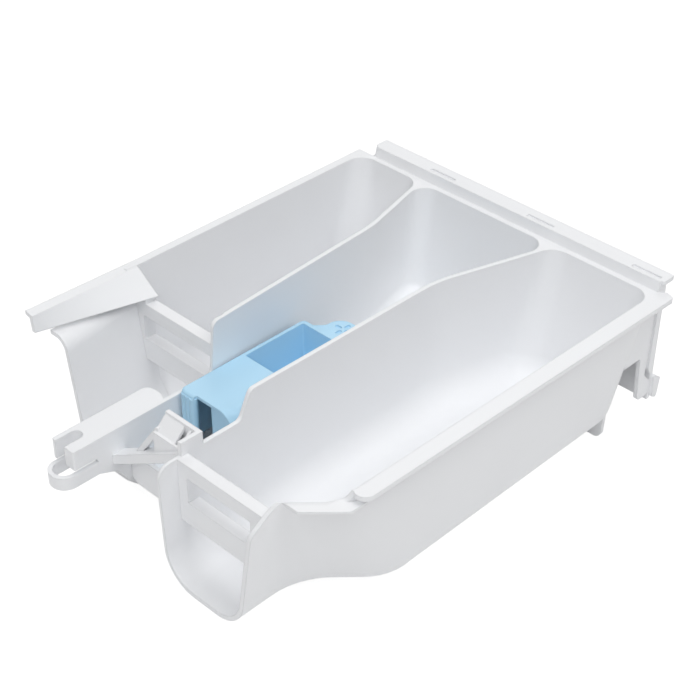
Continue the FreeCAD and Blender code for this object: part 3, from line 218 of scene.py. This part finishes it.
skin, skin_in, skin_out = new_group(
    "moulded_skin",
    [("Place", "Vector", None), ("Grain Scale", "Float", 1400.0), ("Wave Scale", "Float", 28.0),
     ("Wave Share", "Float", 0.75)],
    [("Height", "Float"), ("Tone", "Float")])
grain = add(skin, "ShaderNodeTexNoise", detail=3.0, roughness=0.6)
waves = add(skin, "ShaderNodeTexNoise", detail=1.5, roughness=0.45)
blend = add(skin, "ShaderNodeMix", data_type="FLOAT")
wire(skin, skin_in.outputs["Place"], grain.inputs["Vector"])
wire(skin, skin_in.outputs["Grain Scale"], grain.inputs["Scale"])
wire(skin, skin_in.outputs["Place"], waves.inputs["Vector"])
wire(skin, skin_in.outputs["Wave Scale"], waves.inputs["Scale"])
wire(skin, skin_in.outputs["Wave Share"], blend.inputs["Factor"])
wire(skin, grain.outputs["Fac"], blend.inputs["A"])
wire(skin, waves.outputs["Fac"], blend.inputs["B"])
wire(skin, blend.outputs["Result"], skin_out.inputs["Height"])
wire(skin, waves.outputs["Fac"], skin_out.inputs["Tone"])
print("moulded skin nodes:", len(skin.nodes))

# %% [markdown]
# The second effect is the edge. No moulded edge is a knife edge: each has a radius of a few tenths of
# a millimetre, which shows as a thin line of light. The Bevel node rounds the shading without touching
# the mesh. Where its normal differs from the face's own there is an edge, so the same node gives the mask
# that paints edges paler: partly wear, since edges are what hands and housings rub first, and partly a
# painted highlight.

# %% Build the rounded edge
FULL_WEAR_AND_HIGHLIGHT = 0.75                      # cosine between the two normals at which an edge gets its full wear and painted highlight
edge, edge_in, edge_out = new_group(
    "rounded_edge", [("Radius", "Float", 0.0006)], [("Normal", "Vector"), ("Wear And Highlight", "Float")])
rounding = add(edge, "ShaderNodeBevel", samples=6)
face_side = add(edge, "ShaderNodeNewGeometry")
alike = add(edge, "ShaderNodeVectorMath", operation="DOT_PRODUCT")
# mask of the edges, painted paler for wear and a painted highlight
wear_and_highlight = add(edge, "ShaderNodeMapRange", from_min=1.0, from_max=FULL_WEAR_AND_HIGHLIGHT)
wire(edge, edge_in.outputs["Radius"], rounding.inputs["Radius"])
wire(edge, rounding.outputs["Normal"], alike.inputs[0])
wire(edge, face_side.outputs["Normal"], alike.inputs[1])
wire(edge, alike.outputs["Value"], wear_and_highlight.inputs["Value"])
wire(edge, rounding.outputs["Normal"], edge_out.inputs["Normal"])
wire(edge, wear_and_highlight.outputs["Result"], edge_out.inputs["Wear And Highlight"])
print("rounded edge nodes:", len(edge.nodes))

# %% [markdown]
# The third effect is use. The tray is pulled and pushed along Y for years, which leaves fine rub marks
# in that direction, and hands and dried detergent leave soft cloudy patches that are a little duller.
# Stretching the coordinates before a noise texture turns round spots into strokes.

# %% Build the marks of use
STROKE_STRETCH = (14.0, 0.5, 14.0)    # strokes are long along Y and thin across it
use, use_in, use_out = new_group(
    "marks_of_use",
    [("Place", "Vector", None), ("Stroke Scale", "Float", 60.0), ("Cloud Scale", "Float", 9.0)],
    [("Strokes", "Float"), ("Clouds", "Float")])
stretch = add(use, "ShaderNodeMapping")
stretch.inputs["Scale"].default_value = STROKE_STRETCH
strokes = add(use, "ShaderNodeTexNoise", detail=2.0)
stroke_mask = add(use, "ShaderNodeMapRange", from_min=0.58, from_max=0.74)
clouds = add(use, "ShaderNodeTexNoise", detail=4.0, roughness=0.55)
cloud_mask = add(use, "ShaderNodeMapRange", from_min=0.42, from_max=0.7)
wire(use, use_in.outputs["Place"], stretch.inputs["Vector"])
wire(use, stretch.outputs["Vector"], strokes.inputs["Vector"])
wire(use, use_in.outputs["Stroke Scale"], strokes.inputs["Scale"])
wire(use, strokes.outputs["Fac"], stroke_mask.inputs["Value"])
wire(use, stroke_mask.outputs["Result"], use_out.inputs["Strokes"])
wire(use, use_in.outputs["Place"], clouds.inputs["Vector"])
wire(use, use_in.outputs["Cloud Scale"], clouds.inputs["Scale"])
wire(use, clouds.outputs["Fac"], cloud_mask.inputs["Value"])
wire(use, cloud_mask.outputs["Result"], use_out.inputs["Clouds"])
print("marks of use nodes:", len(use.nodes))

# %% [markdown]
# ## The two plastics
# Both are the same satin polypropylene in two colours, so one function wires them. The colour drifts a
# little with the waves of the skin, edges go paler for wear and a painted highlight, and the roughness
# changes with the rub marks and the cloudy patches. What is the same all over, such as the index of
# refraction, is set on the shader itself.

# %% Wire a satin plastic
PLASTIC_IOR = 1.49
EDGE_WEAR_AND_HIGHLIGHT = 0.35                    # how far an edge goes towards its paler colour, partly wear and partly a painted highlight
CLOUD_DULLING = 0.10                  # roughness that patches and strokes add
STROKE_DULLING = 0.08
RELIEF = 0.35                         # strength and height of the moulded skin
RELIEF_HEIGHT = 0.00012


def place_group(tree, group, **values):
    """Node that holds a group, with its input values."""
    node = tree.nodes.new("ShaderNodeGroup")
    node.node_tree = group
    for name, value in values.items():
        node.inputs[name.replace("_", " ").title()].default_value = value
    return node


def colour_mix(tree, mask, first, second):
    """Mix of two colours by a mask. The first may be an output or a plain colour."""
    mix = add(tree, "ShaderNodeMix", data_type="RGBA")
    first_colour, second_colour = mix.inputs[6:8]
    wire(tree, mask, mix.inputs["Factor"])
    if isinstance(first, bpy.types.NodeSocket):
        wire(tree, first, first_colour)
    else:
        first_colour.default_value = first
    second_colour.default_value = second
    return mix.outputs[2]


def scaled(tree, value, factor, offset=0.0):
    """value * factor + offset."""
    node = add(tree, "ShaderNodeMath", operation="MULTIPLY_ADD")
    wire(tree, value, node.inputs[0])
    node.inputs[1].default_value = factor
    node.inputs[2].default_value = offset
    return node.outputs[0]


def summed(tree, first, second):
    """first + second, kept between 0 and 1."""
    node = add(tree, "ShaderNodeMath", operation="ADD", use_clamp=True)
    wire(tree, first, node.inputs[0])
    wire(tree, second, node.inputs[1])
    return node.outputs[0]


def satin_plastic(name, body, shrunk, edge_colour_wear_and_highlight, roughness, edge_radius):
    """Moulded satin plastic: its colour, the colour in shrunken places, the paler edge colour for wear and
    a painted highlight, its roughness.
    """
    material, out = blank_material(name)
    tree = material.node_tree
    place = add(tree, "ShaderNodeTexCoord").outputs["Object"]
    skin_here = place_group(tree, skin)
    edge_here = place_group(tree, edge, radius=edge_radius)
    use_here = place_group(tree, use)
    wire(tree, place, skin_here.inputs["Place"])
    wire(tree, place, use_here.inputs["Place"])
    tint = colour_mix(tree, skin_here.outputs["Tone"], body, shrunk)
    # edges painted paler: partly wear, partly a painted highlight
    tint = colour_mix(tree, scaled(tree, edge_here.outputs["Wear And Highlight"], EDGE_WEAR_AND_HIGHLIGHT), tint, edge_colour_wear_and_highlight)
    dull = summed(tree, scaled(tree, use_here.outputs["Clouds"], CLOUD_DULLING, roughness),
                  scaled(tree, use_here.outputs["Strokes"], STROKE_DULLING))
    relief = add(tree, "ShaderNodeBump", strength=RELIEF, distance=RELIEF_HEIGHT)
    wire(tree, skin_here.outputs["Height"], relief.inputs["Height"])
    wire(tree, edge_here.outputs["Normal"], relief.inputs["Normal"])
    plastic = add(tree, "ShaderNodeBsdfPrincipled")
    plastic.inputs["IOR"].default_value = PLASTIC_IOR
    wire(tree, tint, plastic.inputs["Base Color"])
    wire(tree, dull, plastic.inputs["Roughness"])
    wire(tree, relief.outputs["Normal"], plastic.inputs["Normal"])
    wire(tree, plastic.outputs[0], out.inputs["Surface"])
    return material


def finish_moulding(node, material):
    """Gives a moulding its finished material in every slot."""
    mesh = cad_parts[node].data
    for i in range(len(mesh.materials)):
        mesh.materials[i] = material
    print(node, "triangles:", len(mesh.polygons), "finish:", material.name)


print("plastic ready to cast")

# %% [markdown]
# The tray is a very slightly cool white. New white plastic gives back more than nine tenths of the light,
# and that matters in the deep compartments: after five bounces, 0.93 still leaves two thirds of the
# light, but 0.8 leaves a third, and the floors would look grey.

# %% Finish the white tray
# the paler edge colour is partly wear, partly a painted highlight
white_plastic = satin_plastic(
    "white_plastic", body=(0.926, 0.935, 0.952, 1), shrunk=(0.908, 0.918, 0.937, 1),
    edge_colour_wear_and_highlight=(0.936, 0.943, 0.955, 1), roughness=0.42, edge_radius=0.0007)
finish_moulding("drawer_tray", white_plastic)

# %% [markdown]
# The insert is light blue, so that it is easy to find and lift out. In its pocket the same blue gets
# deeper with every bounce of the light, so it needs no second colour.

# %% Finish the blue insert
# the paler edge colour is partly wear, partly a painted highlight
blue_plastic = satin_plastic(
    "blue_plastic", body=(0.505, 0.78, 0.97, 1), shrunk=(0.475, 0.755, 0.955, 1),
    edge_colour_wear_and_highlight=(0.60, 0.82, 0.97, 1), roughness=0.40, edge_radius=0.0005)
finish_moulding("siphon_insert", blue_plastic)

# %% [markdown]
# ## Colour management
# The Standard view shows a colour as it is written.

# %% Set the colour view
bpy.context.scene.view_settings.view_transform = "Standard"
